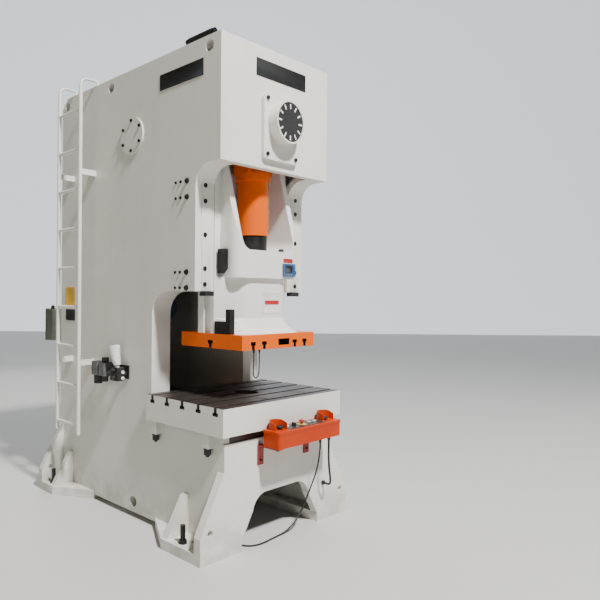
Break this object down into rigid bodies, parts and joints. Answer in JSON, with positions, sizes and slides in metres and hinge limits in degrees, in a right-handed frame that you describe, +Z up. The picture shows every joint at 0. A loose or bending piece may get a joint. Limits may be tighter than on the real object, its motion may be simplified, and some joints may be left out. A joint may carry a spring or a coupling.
{
  "type": "open-frame punch press",
  "caption": "Open-frame mechanical punch press: welded C-frame, slide driven by a crankshaft, slotted bolster, two-hand control box and ladder.",
  "frame": {"origin": "centre of the four anchor-bolt holes, at floor level", "axes": "+Z up, front of the press towards -Y, +X to the right seen from the front"},
  "size_m": [1.386, 2.219, 3.03],
  "materials": {
    "frame_paint": "satin light grey paint",
    "slide_paint": "gloss white paint",
    "orange_paint": "gloss orange paint",
    "red_orange_paint": "satin red-orange paint",
    "bracket_paint": "satin dark red paint",
    "dark_steel": "ground and oiled steel",
    "black_steel": "blackened steel",
    "bright_steel": "machined",
    "cast_grey": "bare casting",
    "bronze": "machined bronze",
    "motor_paint": "satin blue-grey",
    "black_plastic": "moulded",
    "white_foam": "foam wrapping",
    "blue_plastic": "moulded",
    "red_plastic": "moulded",
    "black_rubber": "extruded"
  },
  "bodies": {
    "frame": {"side_plate_left": "frame_paint", "side_plate_right": "frame_paint", "head_front_plate": "frame_paint", "top_plate": "frame_paint", "throat_flange_left": "frame_paint", "throat_flange_right": "frame_paint", "column_web_left": "frame_paint", "column_web_right": "frame_paint", "crank_bulkheads": "frame_paint", "rear_plate": "frame_paint", "bed_top_plate": "dark_steel", "bed_front_plate": "frame_paint", "feet": "frame_paint", "levelling_bolts": "black_steel", "bolster": "dark_steel", "bolster_clamps": "frame_paint", "clamp_bolts": "black_steel", "keeper_plates": "frame_paint", "keeper_bolts": "black_steel", "guide_rails": "bronze", "gib_screws": "black_steel", "wiper_blocks": "black_plastic", "bearing_bushes": "bronze", "dial_housing": "frame_paint", "dial_bolts": "black_steel", "side_covers": "frame_paint", "cover_bolts": "black_steel", "ladder": "frame_paint", "air_unit": "black_plastic", "lubricator_bowl": "white_foam", "silencer": "black_steel", "belt_guard": "frame_paint", "motor": "motor_paint", "balancer_cylinders": "bright_steel", "control_box": "red_orange_paint", "control_panel": "dark_steel", "palm_guards": "red_orange_paint", "control_brackets": "bracket_paint", "cable_glands": "black_plastic", "box_cable": "black_rubber", "long_cable": "black_rubber", "drive_belts": "black_rubber"},
    "crank": {"crankshaft": "bright_steel", "main_gear": "bright_steel", "dial_disc": "black_steel"},
    "rod": {"connecting_rod": "orange_paint"},
    "slide": {"slide_body": "slide_paint", "slide_plate": "orange_paint", "adjusting_screw": "black_steel", "height_display": "blue_plastic", "switch_cover": "black_steel", "indicator_bracket": "black_steel", "balancer_rods": "bright_steel"},
    "pinion": {"pinion_shaft": "bright_steel"},
    "flywheel": {"flywheel": "cast_grey"},
    "motor_pulley": {"motor_pulley": "cast_grey"},
    "palm_button_left": {"palm_button_left": "black_plastic"},
    "palm_button_right": {"palm_button_right": "black_plastic"},
    "stop_button": {"stop_button": "red_plastic"},
    "mode_switch": {"mode_switch": "black_plastic"}
  },
  "joints": [
    {"name": "crank_turn", "type": "hinge", "parent": "frame", "child": "crank", "pos_m": [0, 0, 2.536], "axis": [0, 1, 0], "range_deg": [0, 180]},
    {"name": "slide_stroke", "type": "slide", "parent": "frame", "child": "rod", "axis": [0, 0, 1], "range_m": [0, 0.16]},
    {"name": "die_height_adjust", "type": "slide", "parent": "rod", "child": "slide", "axis": [0, 0, 1], "range_m": [-0.1, 0]},
    {"name": "pinion_turn", "type": "hinge", "parent": "frame", "child": "pinion", "pos_m": [0.11, 0, 2.08935], "axis": [0, 1, 0], "range_deg": [-856, 0]},
    {"name": "flywheel_spin", "type": "hinge", "parent": "frame", "child": "flywheel", "pos_m": [0.11, 0, 2.08935], "axis": [0, 1, 0], "continuous": true},
    {"name": "motor_spin", "type": "hinge", "parent": "frame", "child": "motor_pulley", "pos_m": [0.11, 0, 1.38935], "axis": [0, 1, 0], "continuous": true},
    {"name": "palm_left_press", "type": "slide", "parent": "frame", "child": "palm_button_left", "axis": [0, 0, -1], "range_m": [0, 0.006], "stiffness_N_per_m": 1500, "springref_m": -0.002},
    {"name": "palm_right_press", "type": "slide", "parent": "frame", "child": "palm_button_right", "axis": [0, 0, -1], "range_m": [0, 0.006], "stiffness_N_per_m": 1500, "springref_m": -0.002},
    {"name": "stop_press", "type": "slide", "parent": "frame", "child": "stop_button", "axis": [0, 0, -1], "range_m": [0, 0.005], "stiffness_N_per_m": 1500, "springref_m": -0.002},
    {"name": "mode_turn", "type": "hinge", "parent": "frame", "child": "mode_switch", "pos_m": [-0.02, -1.026, 0.7], "axis": [0, 0, 1], "range_deg": [-45, 45]}
  ],
  "couplings": [
    {"joint": "slide_stroke", "follows": "crank_turn", "m_per_rad": 0.05093},
    {"joint": "pinion_turn", "follows": "crank_turn", "ratio": -4.75},
    {"joint": "motor_spin", "follows": "flywheel_spin", "ratio": 4.1053}
  ]
}
